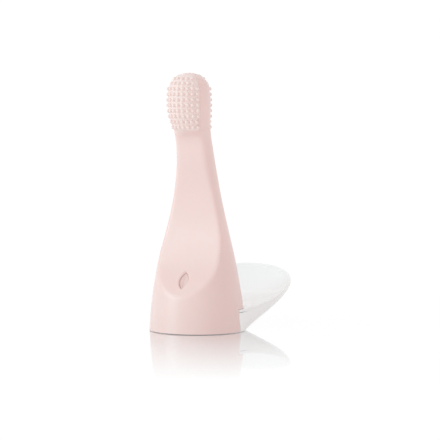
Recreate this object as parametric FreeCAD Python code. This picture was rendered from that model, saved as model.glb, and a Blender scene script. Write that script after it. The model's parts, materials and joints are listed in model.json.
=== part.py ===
import FreeCAD, Part
import math
import os

V = FreeCAD.Vector
UP = V(0, 0, 1)

# Silicone toothbrush handle standing in its petal-shaped charging cradle.
# Millimetres, +Z up, the brush faces -Y, origin on the table at the centre of the handle's round base.

# ---- driving dimensions -------------------------------------------------------------------------
HANDLE_STATIONS = [          # height, radius, centre's Y: the round bell, neck and head
    (0, 21.1, 0), (6, 20.55, -0.3), (12, 19.9, -0.6), (20, 18.75, -0.9), (30, 16.95, -0.9),
    (40, 14.6, -0.7), (50, 12.2, -0.4), (60, 10.15, -0.5), (70, 8.7, -1.3), (78, 8.0, -2.8),
    (84, 7.8, -4.5), (88, 8.1, -6.2), (92, 8.7, -7.8), (96, 9.1, -8.7), (100, 9.2, -8.95),
    (104, 9.0, -9.0),
]
DOME_HEIGHT = 8.0            # the head's rounded top above the last station
SCOOP = [                    # Y, height: the hollowed thumb rest, cut from everything in front
    (-21.8, 14), (-19.9, 16.4), (-17.0, 20.4), (-12.3, 26.6), (-8.6, 33.9), (-6.0, 41), (-4.8, 48),
    (-4.6, 55), (-5.1, 62.3), (-6.3, 69.7), (-7.4, 76.5), (-8.5, 81.5), (-10.3, 84.8), (-14.5, 86.5),
    (-22, 87.2),
]
SKIN = 1.6                   # silicone sleeve's thickness
HOUSING = 1.2                # rigid housing's wall
SCOOP_SHIFT = 1.3            # the slanted scoop moves this much per millimetre of inset
SKIN_FOOT_Z = 0.5
HOUSING_FOOT_Z = 2.2
PARTING = [(0, 0), (3.2, 30), (5.2, 48), (4, 60), (0, 78), (-4, 88), (-9, 100), (-9, 125)]

HEAD_Y = -8.9                # motor axis and bristle fields
PAD_OUTLINE = [              # half width, height of each bristle field, as seen from the front
    (5.8, 87.2), (5.8, 91.5), (7.3, 93.5), (7.3, 105), (5.8, 109), (3.6, 111.2),
]
PAD_EDGE = 0.5               # the two fields start this far either side of the head's middle
PAD_RAISE = 0.3
NUB_RADIUS = 0.7
NUB_HEIGHT = 1.3
NUB_ROOT = 0.5               # length of nub buried below the skin's surface
NUB_ROW_PITCH = 2.35
NUB_FIRST_Z = 88.6
NUB_COLUMNS = (7, 7, 8, 8, 8, 8, 8)         # nubs in each row up the wall
NUB_DOME_ROWS = ((7, 8), (23, 6), (39, 5))  # elevation in degrees, nubs in the row
NUB_STEP = math.radians(13)
NUB_PITCH = 2.0              # least distance along a row, on the narrowing dome

FOOT_RADIUS = 21.1           # cradle's outer foot circle, flush with the handle
FOOT_Z = 0.3
COLLAR_INNER = 18.9
COLLAR_SPLIT = 19.95         # outer radius of the cradle top's share of the collar
SHELL_GAP = 0.1              # between the cradle's two shells
COLLAR_TOP_Z = 9.7
COLLAR_ANGLE = -4            # the collar holds the back half of the base
RIM_Y = 62.8                 # egg-shaped rim of the petal
RIM_SIDE = 27.0
RIM_START_R = 20.3
RIM_LOW_Z = 9.6
RIM_RISE = 14.9
RIM_POWER = 1.7
RIM_REACH = 61.0
DISH_WALL = 1.2
DISH_POWER = 1.8
HULL_BEND = ((0.40, 0.32), (0.90, 0.62))
PETAL_SECTIONS = 18

REBATE_RADIUS = 18.6         # handle cut back where the collar goes
REBATE_Y = -1.9
REBATE_TOP_Z = 10.2
SOCKET_RADIUS = 17.4         # housing bore that takes the bottom cap
SOCKET_TOP_Z = 9.0

PUCK_RADIUS = 17.0
PUCK_BORE = 15.8
PUCK_TOP_Z = 5.0
SPIGOT_RADIUS = 9.0
SPIGOT_TOP_Z = 8.5
WEB_TOP_Z = 1.8
PAD_THICK = 1.0
FOOT_PAD_RADIUS = 14.9
PLATE_TOP_Z = 2.0
RUN_GAP = 0.02               # flat faces of the handle and the cradle where they meet

BATTERY_RADIUS = 7.0         # 14250 lithium-ion cell
BATTERY_LENGTH = 25.0
BATTERY_Y = 4.6
BATTERY_Z = 11.3

KEY_Y = -15.0                # middle of the leaf-shaped key on the thumb rest
KEY_Z = 23.0
KEY_SLOPE = math.radians(38.3)
KEY_LENGTH = 8.2
KEY_WIDTH = 3.8
KEY_GAP = 0.2
BOARD_DEPTH = 6.2            # main board's face below the thumb rest's surface

SCREWS = (                   # X, height, boss radius, head's Y, shank's length
    (12.5, 14.0, 2.0, 9.2, 12.0),
    (8.0, 42.0, 1.8, 5.7, 6.0),
)
SCREW_RADIUS = 0.8
SCREW_HEAD = 1.5
CAP_SCREW_CIRCLE = 14.9
BASE_SCREW_CIRCLE = 12.5

MOTOR_RADIUS = 3.0
MOTOR_Z = 91.5
MOTOR_TOP_Z = 103.5
SHAFT_RADIUS = 0.4
SHAFT_TOP_Z = 108.5

INLET_RADIUS = 1.3
INLET_Z = 3.4
INLET_MOUTH_Y = 36.0
INLET_LENGTH = 11.0


# ---- helpers ------------------------------------------------------------------------------------
def cylinder(radius, low, high, x=0.0, y=0.0):
    return Part.makeCylinder(radius, high - low, V(x, y, low))


def ring(outer, inner, low, high, x=0.0, y=0.0):
    return cylinder(outer, low, high, x, y).cut(cylinder(inner, low - 1, high + 1, x, y))


def box(low, high):
    size = V(*high) - V(*low)
    return Part.makeBox(size.x, size.y, size.z, V(*low))


def curve(points):
    spline = Part.BSplineCurve()
    spline.interpolate([V(*p) for p in points])
    return spline.toShape()


def line(a, b):
    return Part.LineSegment(V(*a), V(*b)).toShape()


def on_circle(radius, degrees):
    angle = math.radians(degrees)
    return radius * math.cos(angle), radius * math.sin(angle)


def wire_tube(points, radius):
    """A bent lead: straight runs with round joints."""
    solids = []
    corners = [V(*p) for p in points]
    for start, end in zip(corners, corners[1:]):
        solids.append(Part.makeCylinder(radius, (end - start).Length, start, end - start))
    for corner in corners[1:-1]:
        solids.append(Part.makeSphere(radius, corner))
    return solids[0].fuse(solids[1:])


def both_sides(points, radius):
    mirrored = [(-x, y, z) for x, y, z in points]
    return Part.makeCompound([wire_tube(points, radius), wire_tube(mirrored, radius)])


# ---- the handle's envelope ----------------------------------------------------------------------
def bell(inset):
    circles = []
    for z, radius, centre in HANDLE_STATIONS:
        circles.append(Part.Wire(Part.makeCircle(radius - inset, V(0, centre, z), UP)))
    body = Part.makeLoft(circles, True, False)
    top_z, top_radius, top_y = HANDLE_STATIONS[-1]
    stretch = FreeCAD.Matrix()
    stretch.scale(V(top_radius - inset, top_radius - inset, DOME_HEIGHT - inset))
    dome = Part.makeSphere(1, V(0, 0, 0), UP, 0, 90, 360).transformGeometry(stretch)
    dome.translate(V(0, top_y, top_z))
    return body.fuse(dome)


def scoop_tool(inset):
    shift = inset * SCOOP_SHIFT
    profile = [(-40, y + shift, z) for y, z in SCOOP]
    first, last = profile[0], profile[-1]
    corners = [last, (-40, -40, last[2]), (-40, -40, first[2]), first]
    edges = [curve(profile)] + [line(a, b) for a, b in zip(corners, corners[1:])]
    return Part.Face(Part.Wire(edges)).extrude(V(80, 0, 0))


def envelope(inset):
    return bell(inset).cut(scoop_tool(inset))


def behind_parting():
    profile = [(-40, y, z) for y, z in PARTING]
    corners = [profile[-1], (-40, 60, profile[-1][2]), (-40, 60, -5), (-40, 0, -5), profile[0]]
    edges = [curve(profile)] + [line(a, b) for a, b in zip(corners, corners[1:])]
    return Part.Face(Part.Wire(edges)).extrude(V(80, 0, 0))


def rebate():
    outside = ring(40, REBATE_RADIUS, -5, REBATE_TOP_Z)
    return outside.common(box((-50, REBATE_Y, -5), (50, 50, REBATE_TOP_Z)))


def key_frame(shape):
    """Place a shape drawn on the XY plane, +Z outward, on the sloping thumb rest."""
    shape.rotate(V(0, 0, 0), V(1, 0, 0), 90 - math.degrees(KEY_SLOPE))
    shape.translate(V(0, KEY_Y, KEY_Z))
    return shape


def leaf(margin, low, high):
    """A leaf outline pointed at both ends, as a prism from low to high."""
    half_width = KEY_WIDTH / 2 + margin
    half_length = KEY_LENGTH / 2 + margin
    tips = (V(0, -half_length, low), V(0, half_length, low))
    sides = [Part.Arc(tips[0], V(side * half_width, -0.3 * side, low), tips[1]) for side in (1, -1)]
    return Part.Face(Part.Wire([side.toShape() for side in sides])).extrude(V(0, 0, high - low))


# ---- handle: skin and bristles ------------------------------------------------------------------
def silicone_sleeve():
    sleeve = envelope(0).cut(envelope(SKIN))
    sleeve = sleeve.cut(box((-50, -50, -5), (50, 50, SKIN_FOOT_Z)))
    return sleeve.cut([rebate(), key_frame(leaf(KEY_GAP, -4, 3))])


def station_at(z):
    for (z0, r0, y0), (z1, r1, y1) in zip(HANDLE_STATIONS, HANDLE_STATIONS[1:]):
        if z0 <= z <= z1:
            share = (z - z0) / (z1 - z0)
            return r0 + (r1 - r0) * share, y0 + (y1 - y0) * share
    raise ValueError(z)


def nub_rows():
    """Height, radius, centre's Y, outward tilt and number of nubs of each row."""
    for row, count in enumerate(NUB_COLUMNS):
        z = NUB_FIRST_Z + row * NUB_ROW_PITCH
        radius, centre = station_at(z)
        yield z, radius, centre, 0.0, count
    top_z, top_radius, top_y = HANDLE_STATIONS[-1]
    for degrees, count in NUB_DOME_ROWS:
        tilt = math.radians(degrees)
        yield top_z + DOME_HEIGHT * math.sin(tilt), top_radius * math.cos(tilt), top_y, tilt, count


def nubs(facing):
    solids = []
    for z, radius, centre, tilt, count in nub_rows():
        step = max(NUB_STEP, NUB_PITCH / radius)
        for column in range(count):
            angle = (column - (count - 1) / 2) * step
            flat = V(math.sin(angle), facing * math.cos(angle), 0)
            out = flat * math.cos(tilt) + UP * math.sin(tilt)
            root = V(0, centre, z) + flat * radius - out * NUB_ROOT
            length = NUB_HEIGHT + NUB_ROOT - NUB_RADIUS
            stem = Part.makeCylinder(NUB_RADIUS, length, root, out)
            solids.append(stem.fuse(Part.makeSphere(NUB_RADIUS, root + out * length)))
    return solids


def bristle_pad(facing):
    outline = PAD_OUTLINE + [(-half_width, z) for half_width, z in reversed(PAD_OUTLINE)]
    corners = [V(x, HEAD_Y + facing * PAD_EDGE, z) for x, z in outline]
    field = Part.Face(Part.makePolygon(corners + corners[:1])).extrude(V(0, facing * 30, 0))
    return bell(-PAD_RAISE).common(field).fuse(nubs(facing)).cut(bell(0))


# ---- handle: housing ----------------------------------------------------------------------------
def housing_cavity():
    above = envelope(SKIN + HOUSING).cut(box((-50, -50, -5), (50, 50, SOCKET_TOP_Z)))
    return above.fuse(cylinder(SOCKET_RADIUS, -5, SOCKET_TOP_Z))


def screw_shapes(x, z, head_y, length):
    """Shank and head of one housing screw, driven forward from the back."""
    shank = Part.makeCylinder(SCREW_RADIUS, length, V(x, head_y, z), V(0, -1, 0))
    head = Part.makeCylinder(SCREW_HEAD, 1.1, V(x, head_y, z), V(0, 1, 0))
    return shank, head


def housings():
    solid = envelope(SKIN)
    shell = solid.cut(housing_cavity())
    posts = []
    holes = []
    for x, z, boss_radius, head_y, length in SCREWS:
        for side in (1, -1):
            post = Part.makeCylinder(boss_radius, 60, V(side * x, -30, z), V(0, 1, 0))
            posts.append(post.common(solid))
            holes.extend(screw_shapes(side * x, z, head_y, length))
            holes.append(Part.makeCylinder(SCREW_HEAD, 8, V(side * x, head_y, z), V(0, 1, 0)))
    shell = shell.fuse(posts).cut(holes)
    shell = shell.cut([rebate(), box((-50, -50, -5), (50, 50, HOUSING_FOOT_Z))])
    back = behind_parting()
    front = shell.cut(back).cut(key_frame(leaf(KEY_GAP, -5, 3)))
    return front, shell.common(back)


def housing_screws():
    screws = []
    for x, z, _, head_y, length in SCREWS:
        for side in (1, -1):
            shank, head = screw_shapes(side * x, z, head_y, length)
            slot = box((side * x - 1, head_y + 0.6, z - 0.2), (side * x + 1, head_y + 2, z + 0.2))
            screws.append(shank.fuse(head).cut(slot))
    return Part.makeCompound(screws)


def cap_screw_places():
    return [on_circle(CAP_SCREW_CIRCLE, degrees) for degrees in (90, 210, 330)]


def bottom_cap():
    low = PUCK_TOP_Z + RUN_GAP
    cap = cylinder(SOCKET_RADIUS - 0.25, low, 7.0).fuse(cylinder(SPIGOT_RADIUS + 1.3, low, 9.8))
    cap = cap.cut([cylinder(SPIGOT_RADIUS + 0.3, 0, SPIGOT_TOP_Z + 0.3), seal_ring()])
    for x, y in cap_screw_places():
        cap = cap.cut([cylinder(0.9, 0, 20, x, y), cylinder(SCREW_HEAD, 0, low + 0.8, x, y)])
    return cap


def seal_ring():
    return ring(SOCKET_RADIUS - 0.05, SOCKET_RADIUS - 1.0, 5.7, 6.5)


def cap_screws():
    low = PUCK_TOP_Z + RUN_GAP + 0.1
    screws = []
    for x, y in cap_screw_places():
        screw = cylinder(SCREW_HEAD - 0.1, low, low + 0.7, x, y)
        screws.append(screw.fuse(cylinder(SCREW_RADIUS, low + 0.7, 9.6, x, y)))
    return Part.makeCompound(screws)


# ---- handle: cell, coil and electronics ---------------------------------------------------------
def battery_holder():
    holder = cylinder(16.2, 10.0, 11.2).fuse(ring(8.4, BATTERY_RADIUS + 0.15, 11.2, 17.0, 0, BATTERY_Y))
    for x, y in cap_screw_places():
        holder = holder.fuse(cylinder(1.5, 7.05, 10.0, x, y))
    holes = [cylinder(SCREW_RADIUS, 0, 9.6, x, y) for x, y in cap_screw_places()]
    return holder.cut(holes + [box((-5, -20, 9), (5, -10.8, 12))])


def battery_cell():
    can = cylinder(BATTERY_RADIUS, BATTERY_Z, BATTERY_Z + BATTERY_LENGTH - 0.6, 0, BATTERY_Y)
    return can.fuse(cylinder(2.4, BATTERY_Z + 20, BATTERY_Z + BATTERY_LENGTH, 0, BATTERY_Y))


def battery_tabs():
    top = BATTERY_Z + BATTERY_LENGTH
    plus = box((-5.9, BATTERY_Y - 5.2, top), (1.5, BATTERY_Y - 3.2, top + 0.15))
    plus = plus.fuse(box((-1.5, BATTERY_Y - 3.2, top), (1.5, BATTERY_Y + 1.5, top + 0.15)))
    minus = box((3.4, BATTERY_Y - 5.2, top - 0.6), (5.9, BATTERY_Y - 1.0, top - 0.45))
    return Part.makeCompound([plus, minus])


def main_board():
    board = box((-7.5, -8, -BOARD_DEPTH - 1.0), (7.5, 8, -BOARD_DEPTH))
    return key_frame(board)


def board_chips():
    face = -BOARD_DEPTH
    chips = [
        box((-6.4, -6.8, face), (-2.4, -2.8, face + 0.9)),
        box((2.8, -6.4, face), (5.8, -3.4, face + 0.8)),
        box((-5.6, 3.8, face), (-3.6, 5.0, face + 0.6)),
        box((4.2, 4.0, face), (5.8, 4.8, face + 0.5)),
        box((-1.4, -6.6, face), (0.2, -5.8, face + 0.5)),
    ]
    return key_frame(Part.makeCompound(chips))


def status_led():
    return key_frame(box((-0.8, 4.6, -BOARD_DEPTH), (0.8, 5.4, -BOARD_DEPTH + 0.6)))


def tact_switch_body():
    face = -BOARD_DEPTH
    body = box((-2.25, -2.25, face), (2.25, 2.25, face + 2.0))
    return key_frame(body.cut(cylinder(0.95, face + 0.3, face + 5)))


def switch_stem():
    return key_frame(cylinder(0.9, -BOARD_DEPTH + 0.8, -3.6))


def key_plunger():
    plunger = cylinder(1.1, -3.6, -2.0).fuse(leaf(-0.5, -2.0, -1.55))
    return key_frame(plunger)


def power_key():
    return key_frame(leaf(0, -1.55, -0.45))


def receiver_coil():
    return ring(13.2, 10.4, 7.1, 9.2)


def receiver_ferrite():
    return ring(13.2, 10.4, 9.3, 9.8)


def motor_leads():
    route = [(1, -7.6, 91.4), (1, -6.4, 89.4), (1, -1.3, 82), (1, 1.6, 72), (1, 4.4, 58),
             (1.5, 4.6, 47), (4.8, -0.9, 38.5), (4.8, -1.5, 34), (4.8, -5.0, 24.4)]
    return both_sides(route, 0.35).cut(main_board())


def battery_leads():
    route = [(5.6, 0.2, 36.6), (6.4, -0.3, 34), (6.4, -4.9, 24.6)]
    return both_sides(route, 0.35).cut([main_board(), battery_tabs()])


def coil_leads():
    return both_sides([(3, -11.9, 9.9), (3, -13.0, 14.2)], 0.3).cut(main_board())


# ---- handle: vibration motor in the head --------------------------------------------------------
def motor_can():
    can = cylinder(MOTOR_RADIUS, MOTOR_Z, MOTOR_TOP_Z, 0, HEAD_Y)
    bore = cylinder(MOTOR_RADIUS - 0.25, MOTOR_Z - 1, MOTOR_TOP_Z - 0.3, 0, HEAD_Y)
    return can.cut([bore, cylinder(1.0, MOTOR_Z, MOTOR_TOP_Z + 1, 0, HEAD_Y)])


def motor_end_cap():
    return cylinder(MOTOR_RADIUS - 0.27, MOTOR_Z, MOTOR_Z + 0.8, 0, HEAD_Y)


def motor_bearing():
    return ring(1.0, SHAFT_RADIUS + 0.03, MOTOR_TOP_Z - 2.0, MOTOR_TOP_Z + 0.5, 0, HEAD_Y)


def stator_magnet():
    return ring(1.6, 0.6, MOTOR_Z + 2.2, MOTOR_TOP_Z - 2.0, 0, HEAD_Y)


def motor_boot():
    return ring(4.6, MOTOR_RADIUS, MOTOR_Z + 0.7, MOTOR_TOP_Z - 1.5, 0, HEAD_Y)


def motor_shaft():
    return cylinder(SHAFT_RADIUS, MOTOR_Z + 1.1, SHAFT_TOP_Z, 0, HEAD_Y)


def rotor_coil():
    disc = ring(2.45, SHAFT_RADIUS, MOTOR_Z + 1.3, MOTOR_Z + 1.9, 0, HEAD_Y)
    cup = ring(2.45, 1.9, MOTOR_Z + 1.9, MOTOR_TOP_Z - 1.0, 0, HEAD_Y)
    return disc.fuse(cup)


def eccentric_weight():
    low = MOTOR_TOP_Z + 0.8
    half = cylinder(2.6, low, SHAFT_TOP_Z - 0.3, 0, HEAD_Y)
    half = half.cut(box((-4, HEAD_Y + 0.6, low - 1), (4, HEAD_Y + 6, SHAFT_TOP_Z)))
    hub = cylinder(1.0, low, SHAFT_TOP_Z - 0.3, 0, HEAD_Y)
    return half.fuse(hub).cut(cylinder(SHAFT_RADIUS, low - 1, SHAFT_TOP_Z + 1, 0, HEAD_Y))


# ---- cradle: petal shells -----------------------------------------------------------------------
def rim_height(y):
    return RIM_LOW_Z + RIM_RISE * (max(y, 0) / RIM_REACH) ** RIM_POWER


def petal_frame(share):
    """Foot direction and rim point for a share from 0 (right end of the collar) to 1 (left end)."""
    theta = math.pi * share
    foot_degrees = COLLAR_ANGLE + share * (180 - 2 * COLLAR_ANGLE)
    start_x, start_y = on_circle(RIM_START_R, COLLAR_ANGLE)
    bulge = RIM_SIDE * math.sin(theta) ** 1.45
    rim_x = math.cos(theta) * (start_x + bulge)
    rim_y = start_y + (RIM_Y - start_y) * math.sin(theta)
    return foot_degrees, rim_x, rim_y, rim_height(rim_y)


def blend(start, end, share, power):
    x = start[0] + (end[0] - start[0]) * share
    y = start[1] + (end[1] - start[1]) * share
    z = start[2] + (end[2] - start[2]) * share ** power
    return x, y, z


def top_section(share):
    degrees, rim_x, rim_y, rim_z = petal_frame(share)
    inner = on_circle(COLLAR_INNER, degrees)
    split = on_circle(COLLAR_SPLIT, degrees)
    steps = [k / 6 for k in range(7)]
    upper = [blend((*split, COLLAR_TOP_Z), (rim_x, rim_y, rim_z), t, DISH_POWER) for t in steps]
    lower = [(x, y, z - DISH_WALL) for x, y, z in reversed(upper)]
    corners = [lower[-1], (*split, FOOT_Z), (*inner, FOOT_Z), (*inner, COLLAR_TOP_Z), upper[0]]
    edges = [curve(upper), line(upper[-1], lower[0]), curve(lower)]
    return Part.Wire(edges + [line(a, b) for a, b in zip(corners, corners[1:])])


def hull_poles(start, end, rim_z, lift):
    poles = [V(*start)]
    for along, up in HULL_BEND:
        x = start[0] + (end[0] - start[0]) * along
        y = start[1] + (end[1] - start[1]) * along
        poles.append(V(x, y, FOOT_Z + up * rim_z + lift))
    return poles + [V(*end)]


def bezier(poles):
    spline = Part.BezierCurve()
    spline.setPoles(poles)
    return spline.toShape()


def underside_section(share):
    degrees, rim_x, rim_y, rim_z = petal_frame(share)
    outer_foot = (*on_circle(FOOT_RADIUS, degrees), FOOT_Z)
    inner_radius = COLLAR_SPLIT + SHELL_GAP
    inner_foot = (*on_circle(inner_radius, degrees), FOOT_Z)
    top_z = rim_z - DISH_WALL - SHELL_GAP
    reach = math.hypot(rim_x, rim_y)
    inward = 1 - min(1.3, reach - inner_radius) / reach
    outer_top = (rim_x, rim_y, top_z)
    inner_top = (rim_x * inward, rim_y * inward, top_z)
    lift = 0.9 * math.sin(math.pi * share)
    return Part.Wire([
        bezier(hull_poles(outer_foot, outer_top, rim_z, 0)),
        line(outer_top, inner_top),
        bezier(hull_poles(inner_foot, inner_top, rim_z, lift)[::-1]),
        line(inner_foot, outer_foot),
    ])


def petal_loft(section):
    shares = [k / PETAL_SECTIONS for k in range(PETAL_SECTIONS + 1)]
    return Part.makeLoft([section(share) for share in shares], True, False)


def cradle_top():
    puck = cylinder(PUCK_RADIUS, PAD_THICK, PUCK_TOP_Z).fuse(cylinder(SPIGOT_RADIUS, 4, SPIGOT_TOP_Z))
    back_half = box((-50, REBATE_Y + 0.5, 0), (50, 50, 50))
    web = cylinder(COLLAR_INNER + 0.1, FOOT_Z, WEB_TOP_Z).common(back_half)
    top = petal_loft(top_section).fuse([puck, web])
    cavities = [cylinder(PUCK_BORE, 0, PUCK_TOP_Z - 1.0), cylinder(SPIGOT_RADIUS - 1.2, 3, SPIGOT_TOP_Z - 1.2)]
    top = top.cut(cavities)
    bosses = [cylinder(1.8, PLATE_TOP_Z, PUCK_TOP_Z - 0.5, x, y) for x, y in base_screw_places()]
    holes = [cylinder(SCREW_RADIUS, 1, 4.2, x, y) for x, y in base_screw_places()]
    lead_channel = box((-2, 15, FOOT_Z - 1), (2, 21, FOOT_Z + 1.0))
    return top.fuse(bosses).cut(holes + [lead_channel])


def cradle_underside():
    shell = petal_loft(underside_section)
    boss = Part.makeCylinder(3.0, INLET_MOUTH_Y - 20.4, V(0, 20.4, INLET_Z), V(0, 1, 0))
    bore = Part.makeCylinder(2.2, 30, V(0, 21.0, INLET_Z), V(0, 1, 0))
    lead_channel = box((-2, 15, FOOT_Z - 1), (2, 22, FOOT_Z + 1.0))
    return shell.fuse(boss).cut([bore, lead_channel, cradle_top_solid])


def base_screw_places():
    return [on_circle(BASE_SCREW_CIRCLE, degrees) for degrees in (30, 150, 270)]


def base_plate():
    plate = cylinder(PUCK_BORE - 0.1, PAD_THICK, PLATE_TOP_Z)
    for x, y in base_screw_places():
        plate = plate.cut([cylinder(0.9, 0, 5, x, y), cylinder(1.5, 0, PAD_THICK + 0.5, x, y)])
    return plate.cut(box((-2, 13.5, 0), (2, 17, 3)))


def base_screws():
    screws = []
    for x, y in base_screw_places():
        screw = cylinder(1.4, PAD_THICK + 0.02, PAD_THICK + 0.5, x, y)
        screws.append(screw.fuse(cylinder(SCREW_RADIUS, PAD_THICK + 0.5, 4.0, x, y)))
    return Part.makeCompound(screws)


def foot_pad():
    return cylinder(FOOT_PAD_RADIUS, 0, PAD_THICK)


# ---- cradle: charging electronics ---------------------------------------------------------------
def transmitter_ferrite():
    return cylinder(7.5, 2.1, 2.7).fuse(cylinder(3.8, 2.7, 7.0))


def transmitter_coil():
    return ring(7.3, 3.9, 2.8, 6.9)


def power_inlet():
    start_y = INLET_MOUTH_Y - INLET_LENGTH
    body = Part.makeCylinder(2.18, INLET_MOUTH_Y - 0.1 - 22.6, V(0, 22.6, INLET_Z), V(0, 1, 0))
    return body.cut(Part.makeCylinder(INLET_RADIUS, 20, V(0, start_y - 0.1, INLET_Z), V(0, 1, 0)))


def inlet_contacts():
    tabs = [box((x - 0.35, 21.3, INLET_Z - 0.1), (x + 0.35, 22.6, INLET_Z + 0.1)) for x in (-1.1, 1.1)]
    return Part.makeCompound(tabs)


def charger_board():
    return box((-9, 22.6, 7.3), (9, 31.0, 8.1))


def charger_chips():
    chips = [
        box((3.8, 23.4, 6.1), (7.8, 27.4, 7.3)),
        box((-6.6, 23.6, 6.3), (-4.2, 26.0, 7.3)),
        box((-8.2, 27.2, 6.7), (-6.8, 28.4, 7.3)),
    ]
    return Part.makeCompound(chips)


def charger_leads():
    return both_sides([(0.8, 7.7, 2.4), (0.8, 15.25, 2.4), (0.8, 15.25, 0.95), (0.8, 21.2, 0.95)], 0.3)


# ---- write every node ---------------------------------------------------------------------------
os.makedirs("parts", exist_ok=True)
front_housing_solid, rear_housing_solid = housings()
cradle_top_solid = cradle_top()
nodes = {
    "silicone_sleeve": silicone_sleeve(),
    "front_bristle_pad": bristle_pad(-1),
    "back_bristle_pad": bristle_pad(1),
    "front_housing": front_housing_solid,
    "rear_housing": rear_housing_solid,
    "housing_screws": housing_screws(),
    "bottom_cap": bottom_cap(),
    "cap_seal": seal_ring(),
    "cap_screws": cap_screws(),
    "battery_holder": battery_holder(),
    "battery_cell": battery_cell(),
    "battery_tabs": battery_tabs(),
    "main_board": main_board(),
    "board_chips": board_chips(),
    "status_led": status_led(),
    "tact_switch_body": tact_switch_body(),
    "switch_stem": switch_stem(),
    "key_plunger": key_plunger(),
    "power_key": power_key(),
    "receiver_coil": receiver_coil(),
    "receiver_ferrite": receiver_ferrite(),
    "motor_leads": motor_leads(),
    "battery_leads": battery_leads(),
    "coil_leads": coil_leads(),
    "motor_can": motor_can(),
    "motor_end_cap": motor_end_cap(),
    "motor_bearing": motor_bearing(),
    "stator_magnet": stator_magnet(),
    "motor_boot": motor_boot(),
    "motor_shaft": motor_shaft(),
    "rotor_coil": rotor_coil(),
    "eccentric_weight": eccentric_weight(),
    "cradle_top": cradle_top_solid,
    "cradle_underside": cradle_underside(),
    "base_plate": base_plate(),
    "base_screws": base_screws(),
    "foot_pad": foot_pad(),
    "transmitter_ferrite": transmitter_ferrite(),
    "transmitter_coil": transmitter_coil(),
    "power_inlet": power_inlet(),
    "inlet_contacts": inlet_contacts(),
    "charger_board": charger_board(),
    "charger_chips": charger_chips(),
    "charger_leads": charger_leads(),
}
for name, shape in nodes.items():
    shape.exportStep("parts/" + name + ".step")
    extent = shape.optimalBoundingBox()
    size = (extent.XLength, extent.YLength, extent.ZLength)
    print(name, len(shape.Solids), "valid" if shape.isValid() else "INVALID", "%.1f x %.1f x %.1f" % size)
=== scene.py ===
import json
import math

import bmesh
import bpy
import numpy as np
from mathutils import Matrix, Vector


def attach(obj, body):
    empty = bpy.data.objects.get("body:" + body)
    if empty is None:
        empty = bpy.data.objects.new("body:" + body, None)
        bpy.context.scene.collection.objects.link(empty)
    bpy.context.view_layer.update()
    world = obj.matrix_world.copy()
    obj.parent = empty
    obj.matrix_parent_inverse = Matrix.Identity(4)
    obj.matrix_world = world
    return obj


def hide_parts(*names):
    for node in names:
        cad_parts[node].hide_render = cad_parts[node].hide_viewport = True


# Silicone toothbrush handle in its petal-shaped charging cradle.
# Shapes are worked out in millimetres, as in the CAD model, and become metres when a mesh is made.
MM = 0.001

# ---- handle -------------------------------------------------------------------------------------
HANDLE_STATIONS = [          # height, radius, centre's Y
    (0, 21.1, 0), (6, 20.55, -0.3), (12, 19.9, -0.6), (20, 18.75, -0.9), (30, 16.95, -0.9),
    (40, 14.6, -0.7), (50, 12.2, -0.4), (60, 10.15, -0.5), (70, 8.7, -1.3), (78, 8.0, -2.8),
    (84, 7.8, -4.5), (88, 8.1, -6.2), (92, 8.7, -7.8), (96, 9.1, -8.7), (100, 9.2, -8.95),
    (104, 9.0, -9.0),
]
DOME_HEIGHT = 8.0
SCOOP = [                    # Y, height of the hollowed thumb rest
    (-21.8, 14), (-19.9, 16.4), (-17.0, 20.4), (-12.3, 26.6), (-8.6, 33.9), (-6.0, 41),
    (-4.8, 48), (-4.6, 55), (-5.1, 62.3), (-6.3, 69.7), (-7.4, 76.5), (-8.5, 81.5),
    (-10.3, 84.8), (-14.5, 86.5), (-22, 87.2),
]
SCOOP_STEPS = 2000
SCOOP_RUN_ON = 8             # height by which the profile goes on below its first point
SCOOP_CAP = 10               # and above its last, where it falls away to SCOOP_FAR_Y
SCOOP_FAR_Y = -200
CREASE = [(14, 0.8), (36, 0.9), (56, 1.4), (76, 1.6), (84, 1.6)]   # height, width of the rounding
SLOPE_STEP = 0.05
OUTLINE_REACH = 2.2          # how far out the outline is looked for, in bell radii
OUTLINE_HALVINGS = 40
SKIN = 1.5
SKIN_EDGE = 0.28             # rounding of the skin's lower edge and of its notch
NOTCH_Y = -1.75              # where the skin makes room for the cradle's collar
NOTCH_Z = 9.82
SKIN_ROWS = [                # first height, last height and step of each run of rows
    (0.3, 9.5, 0.55), (NOTCH_Z, 12.2, 0.4), (12.4, 42, 0.4), (42, 80, 0.55), (80, 88.5, 0.2),
    (88.5, 103.9, 0.45),
]
FRONT_COLUMNS = 132
BACK_COLUMNS = 116
DOME_ROWS = 20

# ---- bristles -----------------------------------------------------------------------------------
PAD_OUTLINE = [              # half width, height
    (5.8, 87.2), (5.8, 91.5), (7.3, 93.5), (7.3, 105), (5.8, 109), (3.6, 111.2),
]
PAD_SPREAD = 0.9             # height over which the outline's corners are averaged
PAD_RAISE = 0.3
PAD_ROLL = 0.4               # width of the rolled edge
PAD_EDGE_DEPTH = 0.35        # how far the rolled edge starts below the skin's surface
PAD_SINK = 0.6               # depth of the field's back
PAD_ROWS = 72
PAD_COLUMNS = 45
NUB_PROFILE = [              # radius, height above the skin
    (1.0, -0.3), (1.0, 0.26), (0.89, 0.33), (0.80, 0.45), (0.75, 0.6), (0.72, 0.78), (0.67, 0.95),
    (0.58, 1.1), (0.44, 1.21), (0.27, 1.28), (0.13, 1.3),
]
NUB_SIDES = 20
NUB_FIRST_Z = 88.6
NUB_ROW_PITCH = 2.35
NUB_COLUMNS = (7, 7, 8, 8, 8, 8, 8)
NUB_DOME_ROWS = ((7, 8), (23, 6), (39, 5))
NUB_STEP = math.radians(13)
NUB_PITCH = 2.0

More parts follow.
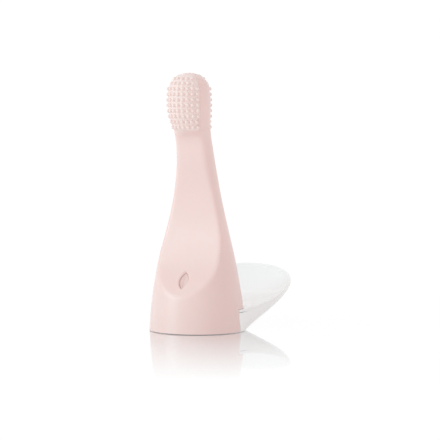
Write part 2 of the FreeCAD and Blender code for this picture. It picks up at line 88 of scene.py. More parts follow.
# ---- leaf-shaped key ----------------------------------------------------------------------------
KEY_Y = -15.0
KEY_Z = 23.0
KEY_SLOPE = math.radians(38.3)
KEY_LENGTH = 8.2
KEY_WIDTH = 3.8
KEY_GAP = 0.06
KEY_FLARE = 0.8              # rounded rim of the opening in the skin
KEY_CUT = (-4, 1.5)          # depth and height of the tool that cuts the opening
KEY_CUT_MARGIN = 0.2
KEY_TOP = -0.8
KEY_ROUND = 0.08
KEY_BOTTOM = -1.55
KEY_DISH = 0.3

# ---- cradle -------------------------------------------------------------------------------------
FOOT_RADIUS = 21.1
FOOT_Z = 0.3
COLLAR_INNER = 18.9
COLLAR_SPLIT = 19.95
SHELL_GAP = 0.1
COLLAR_TOP_Z = 9.7
COLLAR_ANGLE = -4
RIM_Y = 62.8
RIM_SIDE = 27.0
RIM_START_R = 20.3
RIM_LOW_Z = 9.6
RIM_RISE = 14.9
RIM_POWER = 1.7
RIM_REACH = 61.0
DISH_WALL = 1.2
DISH_LIP = 0.6               # length of the rim's rounded nose
DISH_STEPS = 30
DISH_CROWDING = 0.9          # below 1 puts more of the steps near the rim
DISH_POWER = 1.8
EDGE_SHARE = 0.45            # part of the dish's rise that comes close to the rim
EDGE_POWER = 8
HULL_BEND = ((0.40, 0.32), (0.90, 0.62))
HULL_WALL = 1.3
HULL_LIFT = 0.9              # how much higher the hull's inner face curves than its outer one
HULL_STEPS = 32
PETAL_SECTIONS = 160
PUCK_PROFILE = [             # radius, height
    (0, 7.3), (7.8, 7.3), (7.8, 4.0), (15.8, 4.0), (15.8, 1.0), (17.0, 1.0), (17.0, 5.0),
    (9.0, 5.0), (9.0, 8.5), (0, 8.5),
]
WEB_INNER = 16.9
WEB_OVERLAP = 0.3            # the web's run into the collar
WEB_LOW_Z = FOOT_Z + 0.7
WEB_TOP_Z = 1.8
INLET_Z = 3.4
INLET_MOUTH_Y = 36.0
BOSS_PROFILE = [(0, 20.4), (3.0, 20.4), (3.0, INLET_MOUTH_Y), (0, INLET_MOUTH_Y)]
BORE_PROFILE = [(0, 21.0), (2.2, 21.0), (2.2, 51.0), (0, 51.0)]
ROUND_SIDES = 64             # sides of the boss and its bore; the puck has twice as many

# ---- view and light, in metres ------------------------------------------------------------------
CAMERA_AZIMUTH = math.radians(24)
CAMERA_DISTANCE = 0.900
CAMERA_HEIGHT = 0.103
CAMERA_AIM = (0.01057, 0.0, 0.04833)
CAMERA_LENS = 169.4
WORLD_LIGHT = (0.90, 0.90, 0.90)
SCREEN_LIGHT = (0.80, 0.765, 0.76)
SCREEN_SIDE = (0.92, 0.38, 0.0)
SCREEN_FALL = 0.9            # how far towards that side the light has fallen all the way
GLOSS_GAIN = 1.25            # the backdrop is brighter in reflections
BACKDROP = 1.02
FLOOR_GLOW = (0.03, 0.2, 0.85, 1.0)        # near and far distance, share at each
FLOOR_POLISH = (0.03, 0.162, 0.78, 0.0)
FLOOR_HALF = 3.0
LIGHT_AIM = (0, 0, 0.06)
KEY_LIGHT_PLACE = (-0.56, -0.62, 0.30)
KEY_LIGHT_SIZE = (0.36, 0.56)
KEY_LIGHT_POWER = 2.1
KEY_LIGHT_COLOUR = (0.66, 1.0, 1.05)


# ---- curves and surfaces ------------------------------------------------------------------------
def spline(knots, values, at):
    """Natural cubic spline through the values at the knots."""
    x = np.asarray(knots, float)
    y = np.asarray(values, float)
    h = np.diff(x)
    slopes = np.diff(y) / h
    matrix = np.eye(len(x))
    right = np.zeros(len(x))
    for i in range(1, len(x) - 1):
        matrix[i, i - 1:i + 2] = h[i - 1], 2 * (h[i - 1] + h[i]), h[i]
        right[i] = 6 * (slopes[i] - slopes[i - 1])
    bend = np.linalg.solve(matrix, right)
    i = np.clip(np.searchsorted(x, at) - 1, 0, len(x) - 2)
    a = (x[i + 1] - at) / h[i]
    b = (at - x[i]) / h[i]
    curved = ((a ** 3 - a) * bend[i] + (b ** 3 - b) * bend[i + 1]) * h[i] ** 2 / 6
    return a * y[i] + b * y[i + 1] + curved


def bell_radius(z):
    heights, radii, _ = zip(*HANDLE_STATIONS)
    return spline(heights, radii, z)


def bell_centre(z):
    heights, _, centres = zip(*HANDLE_STATIONS)
    return spline(heights, centres, z)


def scoop_curve():
    """The thumb rest's profile as closely spaced Y and height values, run on past both ends."""
    y, z = np.array(SCOOP, float).T
    along = np.concatenate([[0], np.cumsum(np.hypot(np.diff(y), np.diff(z)))])
    at = np.linspace(0, along[-1], SCOOP_STEPS)
    y, z = spline(along, y, at), spline(along, z, at)
    start_y = y[0] - SCOOP_RUN_ON * (y[9] - y[0]) / (z[9] - z[0])
    y = np.concatenate([[start_y], y, [SCOOP_FAR_Y]])
    return y, np.concatenate([[z[0] - SCOOP_RUN_ON], z, [z[-1] + SCOOP_CAP]])


def slope(function, z):
    return (function(z + SLOPE_STEP) - function(z - SLOPE_STEP)) / (2 * SLOPE_STEP)


def rounded_max(a, b, width):
    near = np.maximum(width - np.abs(a - b), 0) / width
    return np.maximum(a, b) + near * near * width / 4


def handle_outline(z, angles):
    """Points of the handle's outline at each height z, one for each angle from the front."""
    curve_y, curve_z = scoop_curve()

    def scoop(height):
        return np.interp(height, curve_z, curve_y)

    radius, centre, front = (f(z)[:, None] for f in (bell_radius, bell_centre, scoop))
    bell_tilt = 1 / np.hypot(1, slope(bell_radius, z))[:, None]
    scoop_tilt = 1 / np.hypot(1, slope(scoop, z))[:, None]
    width = np.interp(z, *zip(*CREASE))[:, None]
    middle = (np.maximum(centre - radius, front) + centre + radius) / 2
    near = np.zeros_like(angles)
    far = np.full_like(angles, OUTLINE_REACH) * radius
    for _ in range(OUTLINE_HALVINGS):
        reach = (near + far) / 2
        x = reach * np.sin(angles)
        y = middle - reach * np.cos(angles)
        from_bell = (np.hypot(x, y - centre) - radius) * bell_tilt
        outside = rounded_max(from_bell, (front - y) * scoop_tilt, width) > 0
        far = np.where(outside, reach, far)
        near = np.where(outside, near, reach)
    return np.stack([x, y, np.broadcast_to(z[:, None], x.shape)], axis=-1)


# ---- mesh helpers -------------------------------------------------------------------------------
def make_object(name, vertices, faces):
    mesh = bpy.data.meshes.new(name)
    mesh.from_pydata((np.asarray(vertices, float) * MM).tolist(), [], faces)
    made = bpy.data.objects.new(name, mesh)
    bpy.context.scene.collection.objects.link(made)
    return made


def quads(index, wrap):
    """Quads over a grid of vertex numbers, joined round in the second direction if wrap."""
    following = np.roll(index, -1, axis=1) if wrap else index[:, 1:]
    start = index if wrap else index[:, :-1]
    corners = [start[:-1], following[:-1], following[1:], start[1:]]
    return np.stack(corners, axis=-1).reshape(-1, 4).tolist()


def loft(name, sections, ends=True):
    """A closed solid through closed sections of equally many points."""
    sections = np.asarray(sections, float)
    count, size = sections.shape[:2]
    index = np.arange(count * size).reshape(count, size)
    faces = quads(index, True)
    if ends:
        faces += [index[0, ::-1].tolist(), index[-1].tolist()]
    return make_object(name, sections.reshape(-1, 3), faces)


def lathe(name, profile, sides, origin=(0, 0, 0), axis=(0, 0, 1)):
    """A closed solid of revolution; the profile starts and ends on the axis."""
    profile = np.asarray(profile, float)
    axis = np.asarray(axis, float)
    helper = np.array([0, 0, 1.0]) if abs(axis[2]) < 0.9 else np.array([1.0, 0, 0])
    across = np.cross(helper, axis)
    across /= np.linalg.norm(across)
    other = np.cross(axis, across)
    turn = np.arange(sides) * 2 * math.pi / sides
    spokes = np.cos(turn)[:, None] * across + np.sin(turn)[:, None] * other
    rings = profile[1:-1, 0, None, None] * spokes + profile[1:-1, 1, None, None] * axis
    count = len(rings) * sides
    poles = [profile[0, 1] * axis, profile[-1, 1] * axis]
    vertices = np.concatenate([rings.reshape(-1, 3), poles]) + np.asarray(origin, float)
    index = np.arange(count).reshape(-1, sides)
    faces = quads(index, True)
    for k in range(sides):
        after = (k + 1) % sides
        faces.append([count, int(index[0, after]), int(index[0, k])])
        faces.append([int(index[-1, k]), int(index[-1, after]), count + 1])
    return make_object(name, vertices, faces)


def bake(made):
    """Replace the mesh with what its modifiers make of it."""
    bpy.context.view_layer.update()
    evaluated = made.evaluated_get(bpy.context.evaluated_depsgraph_get())
    mesh = bpy.data.meshes.new_from_object(evaluated)
    made.modifiers.clear()
    made.data = mesh


def combine(made, tool, operation):
    modifier = made.modifiers.new(operation, "BOOLEAN")
    modifier.operation = operation
    modifier.solver = "MANIFOLD"
    modifier.object = tool
    bake(made)
    bpy.data.objects.remove(tool)


def round_edges(made, width, degrees=40, segments=3):
    modifier = made.modifiers.new("round", "BEVEL")
    modifier.width = width * MM
    modifier.segments = segments
    modifier.limit_method = "ANGLE"
    modifier.angle_limit = math.radians(degrees)
    bake(made)


def outward(made):
    """Turn a closed mesh's faces outwards and merge points that coincide."""
    work = bmesh.new()
    work.from_mesh(made.data)
    bmesh.ops.remove_doubles(work, verts=work.verts, dist=1e-7)
    bmesh.ops.recalc_face_normals(work, faces=work.faces)
    work.to_mesh(made.data)
    work.free()


def finish_piece(made, body, slot, replaced, sharp=35):
    made.data.shade_smooth()
    made.data.set_sharp_from_angle(angle=math.radians(sharp))
    made.data.materials.clear()
    made.data.materials.append(MATERIALS[slot])
    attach(made, body)
    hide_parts(*replaced)
    return made


# ---- handle pieces ------------------------------------------------------------------------------
def column_angles(z):
    """Angles from the front; the columns keep to the notch's sides where the collar is."""
    low = np.minimum(z, NOTCH_Z)
    drop = NOTCH_Y - bell_centre(low)
    side = np.pi / 2 + np.arcsin(drop / bell_radius(low))
    front = np.linspace(-1, 1, FRONT_COLUMNS + 1)[None, :] * side[:, None]
    share = np.linspace(0, 1, BACK_COLUMNS + 1)[None, 1:-1]
    back = side[:, None] + share * (2 * np.pi - 2 * side[:, None])
    return np.concatenate([front, back], axis=1)


def silicone_skin():
    top_z, top_radius, top_y = HANDLE_STATIONS[-1]
    runs = [np.arange(*run) for run in SKIN_ROWS]
    z = np.unique(np.round(np.concatenate(runs + [[NOTCH_Z, top_z]]), 3))
    wall = handle_outline(z, column_angles(z))
    rise = np.radians(np.linspace(0, 90, DOME_ROWS + 1)[1:-1])
    angles = column_angles(z[-1:])
    dome = np.stack([
        top_radius * np.cos(rise)[:, None] * np.sin(angles),
        top_y - top_radius * np.cos(rise)[:, None] * np.cos(angles),
        top_z + DOME_HEIGHT * np.sin(rise)[:, None] * np.ones_like(angles),
    ], axis=-1)
    rings = np.concatenate([wall, dome])
    rows, columns = rings.shape[:2]
    index = np.arange(rows * columns).reshape(rows, columns)
    low = int(np.searchsorted(z, NOTCH_Z - 0.01)) + 1
    faces = quads(index[low - 1:], True) + quads(index[:low, :FRONT_COLUMNS + 1], False)
    pole = rows * columns
    for k in range(columns):
        faces.append([int(index[-1, k]), int(index[-1, (k + 1) % columns]), pole])
    top = (0, top_y, top_z + DOME_HEIGHT)
    skin = make_object("silicone_skin", np.vstack([rings.reshape(-1, 3), [top]]), faces)
    drop_loose_points(skin)
    shell = skin.modifiers.new("shell", "SOLIDIFY")
    shell.thickness = SKIN * MM
    shell.offset = -1
    round_edges(skin, SKIN_EDGE, 60)
    combine(skin, key_opening(), "DIFFERENCE")
    return finish_piece(skin, "handle", "skin", ["silicone_sleeve"])


def drop_loose_points(made):
    work = bmesh.new()
    work.from_mesh(made.data)
    bmesh.ops.delete(work, geom=[v for v in work.verts if not v.link_faces], context="VERTS")
    work.to_mesh(made.data)
    work.free()


def leaf_outline(margin):
    """Leaf outline on the XY plane: two arcs that meet at the tips."""
    half_width = KEY_WIDTH / 2 + margin
    half_length = KEY_LENGTH / 2 + margin
    radius = (half_length ** 2 + half_width ** 2) / (2 * half_width)
    span = math.asin(half_length / radius)
    turn = np.linspace(-span, span, 41)[:-1]
    right = np.stack([radius * np.cos(turn) - radius + half_width, radius * np.sin(turn)], axis=-1)
    return np.concatenate([right, -right])


def on_thumb_rest(points):
    """Turn and move points drawn with +Z outward and +Y up the slope onto the thumb rest."""
    x, up, out = np.asarray(points, float).T
    sine, cosine = math.sin(KEY_SLOPE), math.cos(KEY_SLOPE)
    y = KEY_Y + up * sine - out * cosine
    z = KEY_Z + up * cosine + out * sine
    return np.stack([x, y, z], axis=-1)


def leaf_ring(margin, depth, shrink=0.0):
    outline = leaf_outline(margin) * [1 - shrink, 1 - 0.5 * shrink]
    return on_thumb_rest(np.column_stack([outline, np.full(len(outline), depth)]))


def key_opening():
    deep, high = KEY_CUT
    rings = [leaf_ring(KEY_GAP, deep)]
    for turn in np.linspace(0, math.pi / 2, 7):
        flare = KEY_FLARE * (1 - math.cos(turn))
        rings.append(leaf_ring(KEY_GAP + flare, KEY_FLARE * (math.sin(turn) - 1)))
    rings.append(leaf_ring(KEY_GAP + KEY_FLARE + KEY_CUT_MARGIN, high))
    cutter = loft("key_opening", rings)
    outward(cutter)
    return cutter


def leaf_key():
    rings = [leaf_ring(0, KEY_BOTTOM), leaf_ring(0, KEY_TOP - 2 * KEY_ROUND)]
    for turn in np.linspace(0.3, math.pi / 2, 4):
        margin = KEY_ROUND * (math.cos(turn) - 1)
        rings.append(leaf_ring(margin, KEY_TOP - KEY_ROUND * (1 - math.sin(turn))))
    for share in np.linspace(0.15, 0.98, 9):
        dip = KEY_DISH * math.sin(share * math.pi / 2) ** 2
        rings.append(leaf_ring(-KEY_ROUND, KEY_TOP - dip, share))
    key = loft("leaf_key", rings)
    outward(key)
    return finish_piece(key, "power_button", "key", ["power_key"])


# ---- bristle pieces -----------------------------------------------------------------------------
def pad_half_width(z):
    widths, heights = zip(*PAD_OUTLINE)
    spread = np.linspace(-PAD_SPREAD, PAD_SPREAD, 13)[:, None]
    return np.interp(z + spread, heights, widths).mean(axis=0)


def pad_surface(z, x, lift, facing):
    """Points lift above the bell at height z and sideways place x, with the dome above the wall."""
    top_z, top_radius, top_y = HANDLE_STATIONS[-1]
    up = np.clip((z - top_z) / DOME_HEIGHT, 0, 1)
    level = np.sqrt(1 - up * up)
    wall_z = np.minimum(z, top_z)
    radius = np.where(z > top_z, top_radius * level, bell_radius(wall_z))
    centre = np.where(z > top_z, top_y, bell_centre(wall_z))
    tilt = np.arctan2(up * top_radius, level * DOME_HEIGHT)
    turn = np.arcsin(np.clip(x / radius, -1, 1))
    out = radius + lift * np.cos(tilt)
    y = centre + facing * out * np.cos(turn)
    return np.stack([out * np.sin(turn), y, z + lift * np.sin(tilt)], axis=-1)


def rolled(distance):
    """Height of the pad's surface at a distance from its edge, from sunk to fully raised."""
    share = np.clip(distance / PAD_ROLL, 0, 1)
    return np.sqrt(1 - (1 - share) ** 2) * (PAD_RAISE + PAD_EDGE_DEPTH) - PAD_EDGE_DEPTH


def bristle_field(facing, name, replaced):
    edge = PAD_ROLL * (1 - np.cos(np.linspace(0, math.pi / 2, 6)))
    low, high = PAD_OUTLINE[0][1], PAD_OUTLINE[-1][1]
    middle = np.linspace(low + PAD_ROLL, high - PAD_ROLL, PAD_ROWS)[1:-1]
    z = np.concatenate([low + edge, middle, high - edge[::-1]])
    half = pad_half_width(z)[:, None]
    inner = np.linspace(-1, 1, PAD_COLUMNS)[None, 1:-1] * (half - PAD_ROLL)
    x = np.concatenate([-half + edge, inner, half - edge[::-1]], axis=1)
    from_side = half - np.abs(x)
    from_end = np.minimum(z - low, high - z)[:, None]
    lift = np.minimum(rolled(from_side), rolled(from_end))
    heights = np.broadcast_to(z[:, None], x.shape)
    front = pad_surface(heights, x, lift, facing)
    back = pad_surface(heights, x, np.full_like(x, -PAD_SINK), facing)
    rows, columns = x.shape
    index = np.arange(rows * columns).reshape(rows, columns)
    behind = index + rows * columns
    border = np.concatenate([index[0], index[1:, -1], index[-1, -2::-1], index[-2:0:-1, 0]])
    rim = np.stack([border, border + rows * columns])
    faces = quads(index, False) + quads(behind[:, ::-1], False) + quads(rim[::-1], True)
    field = make_object(name, np.concatenate([front.reshape(-1, 3), back.reshape(-1, 3)]), faces)
    outward(field)
    combine(field, nub_group(facing), "UNION")
    return finish_piece(field, "handle", "bristles", [replaced], 50)


def nub_rows():
    """Height, ring radius, centre's Y, outward tilt and number of nubs of each row."""
    for row, count in enumerate(NUB_COLUMNS):
        z = NUB_FIRST_Z + row * NUB_ROW_PITCH
        yield z, float(bell_radius(z)), float(bell_centre(z)), 0.0, count
    top_z, top_radius, top_y = HANDLE_STATIONS[-1]
    for degrees, count in NUB_DOME_ROWS:
        tilt = math.radians(degrees)
        yield top_z + DOME_HEIGHT * math.sin(tilt), top_radius * math.cos(tilt), top_y, tilt, count


def nub_group(facing):
    nubs = []
    profile = [(0, NUB_PROFILE[0][1])] + NUB_PROFILE + [(0, NUB_PROFILE[-1][1] + 0.01)]
    for z, radius, centre, tilt, count in nub_rows():
        step = max(NUB_STEP, NUB_PITCH / radius)
        for column in range(count):
            angle = (column - (count - 1) / 2) * step
            flat = np.array([math.sin(angle), facing * math.cos(angle), 0])
            axis = flat * math.cos(tilt) + np.array([0, 0, math.sin(tilt)])
            root = np.array([0, centre, z]) + flat * radius
            nubs.append(lathe("nub", profile, NUB_SIDES, root, axis))
    return join(nubs)


def join(objects):
    """One object from several that don't touch."""
    vertices, faces = [], []
    for item in objects:
        start = len(vertices)
        vertices.extend(v.co[:] for v in item.data.vertices)
        faces.extend([start + v for v in polygon.vertices] for polygon in item.data.polygons)
        bpy.data.objects.remove(item)
    made = make_object("joined", np.array(vertices) / MM, faces)
    outward(made)
    return made


# ---- cradle pieces ------------------------------------------------------------------------------
def on_circle(radius, degrees):
    angle = math.radians(degrees)
    return np.array([radius * math.cos(angle), radius * math.sin(angle)])


def petal_frame(share):
    """Foot direction and rim point for a share from 0 (right end of the collar) to 1 (left end)."""
    theta = math.pi * share
    sine = max(math.sin(theta), 0)
    start = on_circle(RIM_START_R, COLLAR_ANGLE)
    rim_x = math.cos(theta) * (start[0] + RIM_SIDE * sine ** 1.45)
    rim_y = start[1] + (RIM_Y - start[1]) * sine
    rim_z = RIM_LOW_Z + RIM_RISE * (max(rim_y, 0) / RIM_REACH) ** RIM_POWER
    return COLLAR_ANGLE + share * (180 - 2 * COLLAR_ANGLE), rim_x, rim_y, rim_z


def at_height(point, z):
    return np.array([point[0], point[1], z])


def dish_section(share):
    degrees, rim_x, rim_y, rim_z = petal_frame(share)
    inner = on_circle(COLLAR_INNER, degrees)
    split = on_circle(COLLAR_SPLIT, degrees)
    start = at_height(split, COLLAR_TOP_Z)
    rim = np.array([rim_x, rim_y, rim_z])
    width = math.hypot(rim_x - split[0], rim_y - split[1])
    lip = min(DISH_LIP, width / 2)
    end = 1 - lip / width

    def dish(t):
        point = start + (rim - start) * t
        rise = (1 - EDGE_SHARE) * t ** DISH_POWER + EDGE_SHARE * t ** EDGE_POWER
        point[2] = start[2] + (rim[2] - start[2]) * rise
        return point

    wall = np.array([0, 0, DISH_WALL])
    upper = [dish(t) for t in end * np.linspace(0, 1, DISH_STEPS) ** DISH_CROWDING]
    tangent = dish(end) - dish(end - 0.01)
    tangent *= lip / math.hypot(tangent[0], tangent[1])
    turns = np.linspace(math.pi / 2, -math.pi / 2, 11)[1:-1]
    nose = [upper[-1] - wall / 2 + tangent * math.cos(t) + wall / 2 * math.sin(t) for t in turns]
    lower = [point - wall for point in reversed(upper)]
    foot = [at_height(split, FOOT_Z), at_height(inner, FOOT_Z), at_height(inner, COLLAR_TOP_Z)]
    return upper + nose + lower + foot


def bezier(poles):
    t = np.linspace(0, 1, HULL_STEPS)[:, None]
    a, b, c, d = poles
    return a * (1 - t) ** 3 + 3 * b * t * (1 - t) ** 2 + 3 * c * t * t * (1 - t) + d * t ** 3


def hull_curve(start, end, rim_z, lift):
    poles = [start]
    for along, up in HULL_BEND:
        poles.append(at_height(start + (end - start) * along, FOOT_Z + up * rim_z + lift))
    return bezier(poles + [end])


def hull_section(share):
    degrees, rim_x, rim_y, rim_z = petal_frame(share)
    inner_radius = COLLAR_SPLIT + SHELL_GAP
    top_z = rim_z - DISH_WALL - SHELL_GAP
    reach = math.hypot(rim_x, rim_y)
    inward = 1 - min(HULL_WALL, reach - inner_radius) / reach
    outer_foot = at_height(on_circle(FOOT_RADIUS, degrees), FOOT_Z)
    inner_foot = at_height(on_circle(inner_radius, degrees), FOOT_Z)
    outer_top = np.array([rim_x, rim_y, top_z])
    inner_top = np.array([rim_x * inward, rim_y * inward, top_z])
    outer = hull_curve(outer_foot, outer_top, rim_z, 0)
    inner = hull_curve(inner_foot, inner_top, rim_z, HULL_LIFT * math.sin(math.pi * share))
    return np.concatenate([outer, inner[::-1]])


def petal(name, section):
    shares = (1 - np.cos(np.linspace(0, math.pi, PETAL_SECTIONS + 1))) / 2
    shares = 0.5 * shares + 0.5 * np.linspace(0, 1, PETAL_SECTIONS + 1)
    made = loft(name, [section(share) for share in shares])
    outward(made)
    return made


def web_section(degrees):
    outer = COLLAR_INNER + WEB_OVERLAP
    corners = [
        (WEB_INNER, WEB_LOW_Z), (outer, WEB_LOW_Z), (outer, WEB_TOP_Z), (WEB_INNER, WEB_TOP_Z),
    ]
    return [at_height(on_circle(radius, degrees), z) for radius, z in corners]


def petal_dish():
    dish = petal("petal_dish", dish_section)
    round_edges(dish, 0.3)
    puck = lathe("puck", PUCK_PROFILE, 2 * ROUND_SIDES)
    outward(puck)
    round_edges(puck, 0.3)
    web = loft("web", [web_section(d) for d in np.linspace(0, 180, 65)])
    outward(web)
    combine(dish, puck, "UNION")
    combine(dish, web, "UNION")
    return finish_piece(dish, "cradle", "cradle", ["cradle_top"])


def petal_hull():
    hull = petal("petal_hull", hull_section)
    round_edges(hull, 0.25)
    place, back = (0, 0, INLET_Z), (0, 1, 0)
    boss = lathe("boss", BOSS_PROFILE, ROUND_SIDES, place, back)
    round_edges(boss, 0.3)
    bore = lathe("bore", BORE_PROFILE, ROUND_SIDES, place, back)
    outward(boss)
    outward(bore)
    combine(hull, boss, "UNION")
    combine(hull, bore, "DIFFERENCE")
    return finish_piece(hull, "cradle", "cradle", ["cradle_underside"])


# ---- materials ----------------------------------------------------------------------------------
class Surface:
    """A material's nodes: a Principled shader whose colour and relief come from textures."""

    def __init__(self, name, roughness, **numbers):
        self.material = bpy.data.materials.new(name)
        self.material.use_nodes = True
        self.tree = self.material.node_tree
        self.shader = self.tree.nodes["Principled BSDF"]
        self.shader.inputs["Roughness"].default_value = roughness
        for socket, value in numbers.items():
            self.shader.inputs[socket.replace("_", " ")].default_value = value
        self.place = self.tree.nodes.new("ShaderNodeTexCoord").outputs["Object"]

    def link(self, source, target):
        self.tree.links.new(source, target)

    def noise(self, scale, detail=3.0, stretch=None):
        texture = self.tree.nodes.new("ShaderNodeTexNoise")
        texture.inputs["Scale"].default_value = scale
        texture.inputs["Detail"].default_value = detail
        self.link(self.stretched(stretch), texture.inputs["Vector"])
        return texture.outputs["Fac"]

    def bands(self, scale, direction="Z", distortion=0.0):
        texture = self.tree.nodes.new("ShaderNodeTexWave")
        texture.bands_direction = direction
        texture.inputs["Scale"].default_value = scale
        texture.inputs["Distortion"].default_value = distortion
        self.link(self.place, texture.inputs["Vector"])
        return texture.outputs["Fac"]

    def stretched(self, factors):
        if factors is None:
            return self.place
        mapping = self.tree.nodes.new("ShaderNodeMapping")
        mapping.inputs["Scale"].default_value = factors
        self.link(self.place, mapping.inputs["Vector"])
        return mapping.outputs["Vector"]

    def colour(self, pattern, dark, light, low=0.3, high=0.7):
        ramp = self.tree.nodes.new("ShaderNodeValToRGB")
        ramp.color_ramp.elements[0].position = low
        ramp.color_ramp.elements[0].color = (*dark, 1)
        ramp.color_ramp.elements[1].position = high
        ramp.color_ramp.elements[1].color = (*light, 1)
        self.link(pattern, ramp.inputs["Fac"])
        self.link(ramp.outputs["Color"], self.shader.inputs["Base Color"])
        return self

    def relief(self, pattern, height, strength=1.0):
        bump = self.tree.nodes.new("ShaderNodeBump")
        bump.inputs["Strength"].default_value = strength
        bump.inputs["Distance"].default_value = height * MM
        self.link(pattern, bump.inputs["Height"])
        self.link(bump.outputs["Normal"], self.shader.inputs["Normal"])
        return self


def shade(colour, factor):
    return tuple(min(1.0, c * factor) for c in colour)


def silicone(name, colour, roughness=0.36, depth=0.15):
    surface = Surface(name, roughness, Subsurface_Weight=depth, Subsurface_Scale=0.0025,
                      Sheen_Weight=0.1, Sheen_Roughness=0.5, Specular_IOR_Level=0.8)
    surface.shader.inputs["Subsurface Radius"].default_value = (1.0, 0.45, 0.35)
    surface.colour(surface.noise(60, 2.0), shade(colour, 0.985), shade(colour, 1.015))
    surface.relief(surface.noise(2600, 2.0), 0.02, 0.35)
    return surface.material


def gloss_plastic(name, colour, roughness=0.16, coat=0.5):
    surface = Surface(name, roughness, Coat_Weight=coat, Coat_Roughness=0.05)
    surface.colour(surface.noise(45, 2.0), shade(colour, 0.99), shade(colour, 1.01))
    surface.relief(surface.noise(320, 1.0), 0.01, 0.25)
    return surface.material


def moulded_plastic(name, colour, roughness=0.42, grain=1800, height=0.012):
    surface = Surface(name, roughness)
    surface.colour(surface.noise(120, 4.0), shade(colour, 0.94), shade(colour, 1.05))
    surface.relief(surface.noise(grain, 3.0), height, 0.6)
    return surface.material


def metal(name, colour, roughness=0.3, stretch=(1, 1, 14)):
    surface = Surface(name, roughness, Metallic=1.0)
    pattern = surface.noise(700, 4.0, stretch)
    surface.colour(pattern, shade(colour, 0.85), shade(colour, 1.1))
    surface.relief(pattern, 0.006, 0.5)
    return surface.material


def winding(name, colour):
    surface = Surface(name, 0.32, Metallic=1.0, Coat_Weight=0.4)
    rings = surface.bands(700, "Z", 0.4)
    surface.colour(rings, shade(colour, 0.45), shade(colour, 1.1), 0.1, 0.75)
    surface.relief(rings, 0.06, 0.8)
    return surface.material


def circuit_board(name, colour):
    surface = Surface(name, 0.35, Coat_Weight=0.3)
    cells = surface.tree.nodes.new("ShaderNodeTexBrick")
    cells.inputs["Scale"].default_value = 260
    cells.inputs["Mortar Size"].default_value = 0.03
    cells.inputs["Color1"].default_value = (*colour, 1)
    cells.inputs["Color2"].default_value = (*shade(colour, 0.85), 1)
    cells.inputs["Mortar"].default_value = (*shade(colour, 1.8), 1)
    surface.link(surface.place, cells.inputs["Vector"])
    surface.link(cells.outputs["Color"], surface.shader.inputs["Base Color"])
    surface.relief(cells.outputs["Fac"], 0.02, 0.4)
    return surface.material


def make_materials():
    return {
        "skin": silicone("silicone_pink", (0.835, 0.61, 0.575)),
        # The bristles' silicone is a lighter copy of the skin's pink: painted fill light that lifts
        # the shade between the nubs.
        "bristles": silicone("silicone_bristles_painted_fill", (0.87, 0.70, 0.665), 0.7, 0.05),
        # The key's silicone is a darker copy of the skin's pink: painted shade of the key's
        # leaf-shaped recess.
        "key": silicone("silicone_key_painted_shade", (0.80, 0.56, 0.525)),
        "cradle": gloss_plastic("cradle_white", (0.90, 0.887, 0.88)),
        "housing": moulded_plastic("housing_white", (0.78, 0.76, 0.73)),
        "foot": moulded_plastic("foot_silicone", (0.30, 0.29, 0.28), 0.7, 900),
        "seal": moulded_plastic("nitrile", (0.02, 0.02, 0.022), 0.6, 900),
        "steel": metal("zinc_steel", (0.60, 0.60, 0.61)),
        "nickel": metal("nickel_strip", (0.68, 0.66, 0.61), 0.22, (14, 1, 1)),
        "magnet": metal("magnet_nickel", (0.42, 0.42, 0.44), 0.35),
        "weight": metal("turned_brass", (0.62, 0.50, 0.26), 0.3),
        "bronze": metal("sintered_bronze", (0.50, 0.33, 0.17), 0.5, (1, 1, 1)),
        "copper": winding("copper_winding", (0.78, 0.38, 0.20)),
        "ferrite": moulded_plastic("pressed_ferrite", (0.03, 0.03, 0.033), 0.55, 2400),
        "board": circuit_board("solder_mask", (0.015, 0.12, 0.055)),
        "chips": moulded_plastic("moulded_package", (0.02, 0.02, 0.022), 0.45, 2400),
        "stem": moulded_plastic("nylon", (0.75, 0.75, 0.72), 0.35),
        "led": gloss_plastic("clear_epoxy", (0.80, 0.80, 0.62), 0.08),
        "cell": gloss_plastic("shrink_sleeve", (0.05, 0.16, 0.38), 0.3, 0.2),
        "leads": moulded_plastic("lead_insulation", (0.45, 0.02, 0.016), 0.35),
    }


# ---- stage --------------------------------------------------------------------------------------
def by_distance(surface, near, far, at_near, at_far):
    """A value that changes from at_near to at_far as the distance from the origin grows."""
    nodes = surface.tree.nodes
    distance = nodes.new("ShaderNodeVectorMath")
    distance.operation = "LENGTH"
    surface.link(surface.place, distance.inputs[0])
    fade = nodes.new("ShaderNodeMapRange")
    limits = {"From Min": near, "From Max": far, "To Min": at_near, "To Max": at_far}
    for socket, value in limits.items():
        fade.inputs[socket].default_value = value
    surface.link(distance.outputs["Value"], fade.inputs["Value"])
    return fade.outputs["Result"]


def floor_material():
    """White floor: polished round the object, and glowing like the backdrop further out."""
    surface = Surface("floor_white", 0.9)
    surface.shader.inputs["Base Color"].default_value = (0.95, 0.95, 0.95, 1)
    nodes = surface.tree.nodes
    polish = nodes.new("ShaderNodeBsdfGlossy")
    polish.inputs["Roughness"].default_value = 0.03
    polish.inputs["Color"].default_value = (1 / (GLOSS_GAIN * WORLD_LIGHT[0]),) * 3 + (1,)
    glow = nodes.new("ShaderNodeEmission")
    glow.inputs["Color"].default_value = (1, 1, 1, 1)
    glow.inputs["Strength"].default_value = BACKDROP
    shader = surface.shader.outputs["BSDF"]
    layers = ((glow.outputs["Emission"], by_distance(surface, *FLOOR_GLOW)),
              (polish.outputs["BSDF"], by_distance(surface, *FLOOR_POLISH)))
    for layer, factor in layers:
        mix = nodes.new("ShaderNodeMixShader")
        surface.link(factor, mix.inputs["Fac"])
        surface.link(shader, mix.inputs[1])
        surface.link(layer, mix.inputs[2])
        shader = mix.outputs["Shader"]
    surface.link(shader, nodes["Material Output"].inputs["Surface"])
    return surface.material


def make_floor():
    half = FLOOR_HALF / MM
    corners = [(-half, -half, 0), (half, -half, 0), (half, half, 0), (-half, half, 0)]
    floor = make_object("floor", corners, [[0, 1, 2, 3]])
    floor.data.materials.append(floor_material())


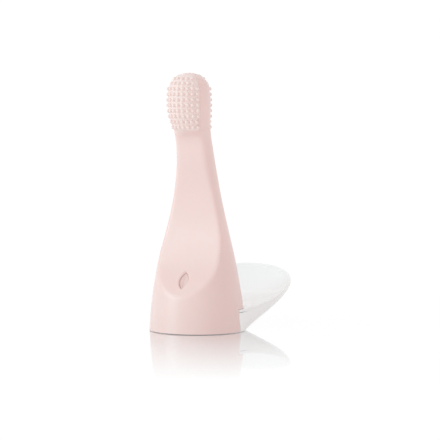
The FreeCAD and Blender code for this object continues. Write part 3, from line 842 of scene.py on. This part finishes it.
def make_key_light():
    light = bpy.data.lights.new("key", "AREA")
    light.color = KEY_LIGHT_COLOUR
    light.shape = "RECTANGLE"
    light.size, light.size_y = KEY_LIGHT_SIZE
    light.energy = KEY_LIGHT_POWER
    lamp = bpy.data.objects.new("key", light)
    lamp.location = KEY_LIGHT_PLACE
    aim = Vector(LIGHT_AIM) - Vector(KEY_LIGHT_PLACE)
    lamp.rotation_euler = aim.to_track_quat("-Z", "Y").to_euler()
    lamp.visible_camera = False
    bpy.context.scene.collection.objects.link(lamp)


def colour_mix(nodes, first, second):
    """A node that goes from one colour to the other, with its factor, first colour and result."""
    mix = nodes.new("ShaderNodeMix")
    mix.data_type = "RGBA"
    mix.inputs[6].default_value = (*first, 1)
    mix.inputs[7].default_value = (*second, 1)
    return mix.inputs[0], mix.inputs[6], mix.outputs[2]


def make_world():
    """White backdrop; the light from it is weaker on the right, as beside a dark screen."""
    world = bpy.data.worlds.new("studio")
    world.use_nodes = True
    nodes, links = world.node_tree.nodes, world.node_tree.links
    place = nodes.new("ShaderNodeTexCoord")
    towards = nodes.new("ShaderNodeVectorMath")
    towards.operation = "DOT_PRODUCT"
    towards.inputs[1].default_value = SCREEN_SIDE
    links.new(place.outputs["Generated"], towards.inputs[0])
    fall = nodes.new("ShaderNodeMapRange")
    fall.interpolation_type = "SMOOTHSTEP"
    fall.inputs["From Max"].default_value = SCREEN_FALL
    links.new(towards.outputs["Value"], fall.inputs["Value"])
    side, _, light = colour_mix(nodes, WORLD_LIGHT, SCREEN_LIGHT)
    links.new(fall.outputs["Result"], side)
    path = nodes.new("ShaderNodeLightPath")
    gloss = nodes.new("ShaderNodeMapRange")
    gloss.inputs["To Min"].default_value = 1.0
    gloss.inputs["To Max"].default_value = GLOSS_GAIN
    links.new(path.outputs["Is Glossy Ray"], gloss.inputs["Value"])
    direct, unseen, seen = colour_mix(nodes, WORLD_LIGHT, (BACKDROP,) * 3)
    links.new(path.outputs["Is Camera Ray"], direct)
    links.new(light, unseen)
    links.new(seen, nodes["Background"].inputs["Color"])
    links.new(gloss.outputs["Result"], nodes["Background"].inputs["Strength"])
    bpy.context.scene.world = world


def make_studio():
    make_world()
    bpy.context.scene.view_settings.view_transform = "Standard"
    make_key_light()
    make_floor()


def make_camera():
    camera = bpy.data.objects.new("camera", bpy.data.cameras.new("camera"))
    camera.data.lens = CAMERA_LENS
    camera.location = (
        CAMERA_DISTANCE * math.sin(CAMERA_AZIMUTH),
        -CAMERA_DISTANCE * math.cos(CAMERA_AZIMUTH),
        CAMERA_HEIGHT,
    )
    aim = Vector(CAMERA_AIM) - camera.location
    camera.rotation_euler = aim.to_track_quat("-Z", "Y").to_euler()
    bpy.context.scene.collection.objects.link(camera)
    bpy.context.scene.camera = camera


# ---- build --------------------------------------------------------------------------------------
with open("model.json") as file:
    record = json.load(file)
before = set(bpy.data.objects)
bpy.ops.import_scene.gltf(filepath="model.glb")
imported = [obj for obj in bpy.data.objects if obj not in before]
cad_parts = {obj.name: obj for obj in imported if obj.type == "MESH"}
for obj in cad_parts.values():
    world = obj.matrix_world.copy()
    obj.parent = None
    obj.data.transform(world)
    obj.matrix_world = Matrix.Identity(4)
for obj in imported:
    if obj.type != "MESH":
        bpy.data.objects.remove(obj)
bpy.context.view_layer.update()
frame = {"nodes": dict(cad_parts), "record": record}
MATERIALS = make_materials()
for subpart in frame["record"]["subparts"]:
    node = frame["nodes"][subpart["node"]]
    node.data.materials.clear()
    node.data.materials.append(MATERIALS[subpart["material_slot"]])
silicone_skin()
bristle_field(-1, "front_bristles", "front_bristle_pad")
bristle_field(1, "back_bristles", "back_bristle_pad")
leaf_key()
petal_dish()
petal_hull()
make_studio()
make_camera()
